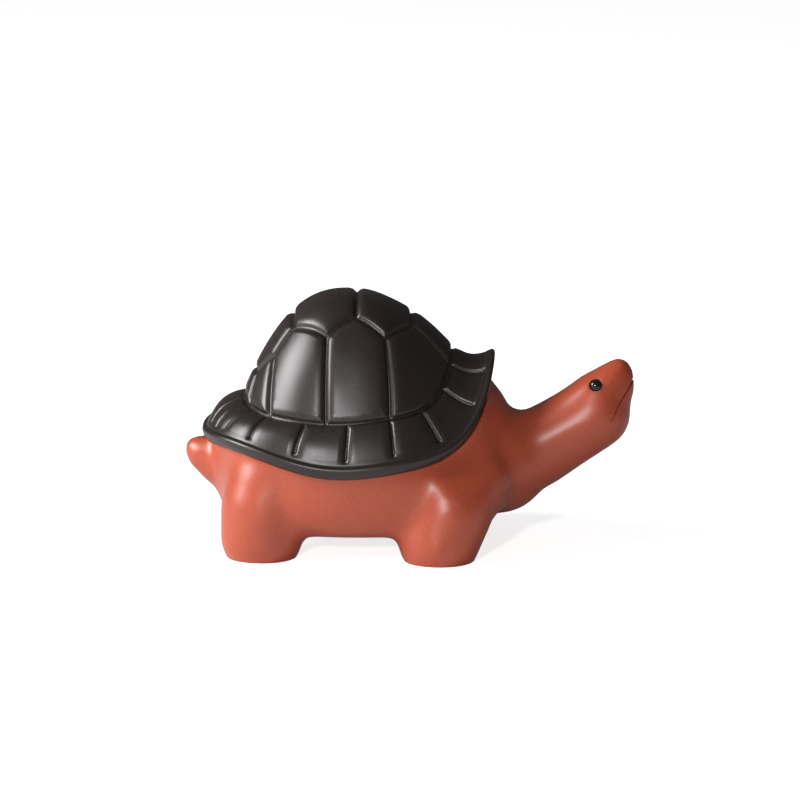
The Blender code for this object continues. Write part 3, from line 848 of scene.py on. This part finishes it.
class TEAPET_OT_shell(bpy.types.Operator):
    """Models the carved dark clay shell"""

    bl_idname = "teapet.shell"
    bl_label = "Build shell"

    def execute(self, context):
        settings = context.scene.teapet_shell
        shell = build_shell(settings)
        shell.data.materials.append(
            clay_material("dark_clay", settings.colour, settings.roughness, SHELL_SHADES, SHELL_GRAIN))
        show_instead(shell, "shell")
        return {"FINISHED"}


class TEAPET_OT_body(bpy.types.Operator):
    """Models the hollow red clay body with its legs, tail and head"""

    bl_idname = "teapet.body"
    bl_label = "Build body"

    def execute(self, context):
        settings = context.scene.teapet_body
        body = build_body(settings)
        body.data.materials.append(
            clay_material("red_clay", settings.colour, settings.roughness, BODY_SHADES, BODY_GRAIN))
        show_instead(body, "body")
        return {"FINISHED"}


class TEAPET_OT_eyes(bpy.types.Operator):
    """Models the two glossy eye beads"""

    bl_idname = "teapet.eyes"
    bl_label = "Build eyes"

    def execute(self, context):
        settings = context.scene.teapet_eyes
        gloss = clay_material("black_clay", settings.colour, settings.roughness, BEAD_SHADES, BEAD_GRAIN)
        for node in ("eye_left", "eye_right"):
            centre, radius = bead(node)
            eye = add_ball(centre, radius, BEAD_SIDES)
            bpy.ops.object.transform_apply(location=True, rotation=True, scale=True)
            eye.name = "bead_" + node
            eye.data.shade_smooth()
            eye.data.materials.append(gloss)
            show_instead(eye, node)
        return {"FINISHED"}


def aim_at(target, point):
    run = point - target.location
    target.rotation_euler = run.to_track_quat("-Z", "Y").to_euler()


def add_light(name, place, size, power):
    data = bpy.data.lights.new(name, "AREA")
    data.shape = "DISK"
    data.size = size
    data.energy = power
    light = fresh_object(name, data)
    light.location = place
    aim_at(light, LIGHT_TARGET)


def add_camera():
    data = bpy.data.cameras.new("camera")
    data.sensor_width = SENSOR_WIDTH
    data.lens = SENSOR_WIDTH * CAMERA_DISTANCE / (PHOTO_SIZE * PHOTO_SCALE)
    camera = fresh_object("camera", data)
    middle_x = (PHOTO_SIZE / 2 - PHOTO_ORIGIN[0]) * PHOTO_SCALE
    level = math.cos(CAMERA_RISE)
    middle_z = (PHOTO_ORIGIN[1] - PHOTO_SIZE / 2) * PHOTO_SCALE / level
    target = Vector((middle_x, 0.0, middle_z))
    away = Vector((0.0, -level, math.sin(CAMERA_RISE)))
    camera.location = target + away * CAMERA_DISTANCE
    aim_at(camera, target)
    bpy.context.scene.camera = camera


def light_world(strength):
    """White wherever the camera sees it, and a gentler even light on everything."""
    world = bpy.data.worlds.new("studio")
    bpy.context.scene.world = world
    world.use_nodes = True
    tree = world.node_tree
    tree.nodes.clear()
    out = tree.nodes.new("ShaderNodeOutputWorld")
    seen = tree.nodes.new("ShaderNodeBackground")
    seen.inputs["Color"].default_value = (1.0, 1.0, 1.0, 1.0)
    room = tree.nodes.new("ShaderNodeBackground")
    room.inputs["Color"].default_value = (1.0, 1.0, 1.0, 1.0)
    room.inputs["Strength"].default_value = strength
    ray = tree.nodes.new("ShaderNodeLightPath")
    mix = tree.nodes.new("ShaderNodeMixShader")
    link(tree, ray, "Is Camera Ray", mix, "Fac")
    tree.links.new(room.outputs["Background"], mix.inputs[1])
    tree.links.new(seen.outputs["Background"], mix.inputs[2])
    link(tree, mix, "Shader", out, "Surface")


class TEAPET_OT_stage(bpy.types.Operator):
    """Makes the pale floor, the soft studio light and the camera"""

    bl_idname = "teapet.stage"
    bl_label = "Build stage"

    def execute(self, context):
        settings = context.scene.teapet_stage
        bpy.ops.mesh.primitive_plane_add(size=FLOOR_SIZE, location=(0.0, 0.0, 0.0))
        floor = bpy.context.object
        floor.name = "floor"
        paint = bpy.data.materials.new("floor_paint")
        paint.use_nodes = True
        tree = paint.node_tree
        shader = tree.nodes["Principled BSDF"]
        shader.inputs["Base Color"].default_value = (*settings.floor_colour, 1.0)
        shader.inputs["Roughness"].default_value = FLOOR_ROUGHNESS
        shader.inputs["Emission Color"].default_value = (1.0, 1.0, 1.0, 1.0)
        ray = tree.nodes.new("ShaderNodeLightPath")
        glow = tree.nodes.new("ShaderNodeMath")
        glow.operation = "MULTIPLY"
        glow.inputs[1].default_value = settings.floor_glow
        link(tree, ray, "Is Camera Ray", glow, 0)
        link(tree, glow, "Value", shader, "Emission Strength")
        floor.data.materials.append(paint)
        add_light("key", *KEY_LIGHT, settings.key_power)
        add_light("front", *FRONT_LIGHT, settings.front_power)
        light_world(settings.world_strength)
        add_camera()
        context.scene.view_settings.view_transform = "Standard"
        return {"FINISHED"}


class TEAPET_PT_panel(bpy.types.Panel):
    """Lists the sizes, colours and steps of the tea pet"""

    bl_idname = "TEAPET_PT_panel"
    bl_label = "Tea pet"
    bl_space_type = "VIEW_3D"
    bl_region_type = "UI"
    bl_category = "Tea pet"

    def draw(self, context):
        for name, group in SETTINGS.items():
            box = self.layout.box()
            settings = getattr(context.scene, "teapet_" + name)
            for prop in group.__annotations__:
                box.prop(settings, prop)
            box.operator("teapet." + name)


SETTINGS = {
    "shell": TEAPET_PG_shell,
    "body": TEAPET_PG_body,
    "eyes": TEAPET_PG_eyes,
    "stage": TEAPET_PG_stage,
}
OPERATORS = (TEAPET_OT_shell, TEAPET_OT_body, TEAPET_OT_eyes, TEAPET_OT_stage)


def register():
    for name, group in SETTINGS.items():
        bpy.utils.register_class(group)
        setattr(bpy.types.Scene, "teapet_" + name, bpy.props.PointerProperty(type=group))
    for operator in OPERATORS:
        bpy.utils.register_class(operator)
    bpy.utils.register_class(TEAPET_PT_panel)


def unregister():
    bpy.utils.unregister_class(TEAPET_PT_panel)
    for operator in reversed(OPERATORS):
        bpy.utils.unregister_class(operator)
    for name, group in SETTINGS.items():
        delattr(bpy.types.Scene, "teapet_" + name)
        bpy.utils.unregister_class(group)


def main():
    register()
    bpy.ops.teapet.shell()
    bpy.ops.teapet.body()
    bpy.ops.teapet.eyes()
    bpy.ops.teapet.stage()


if __name__ == "__main__":
    main()
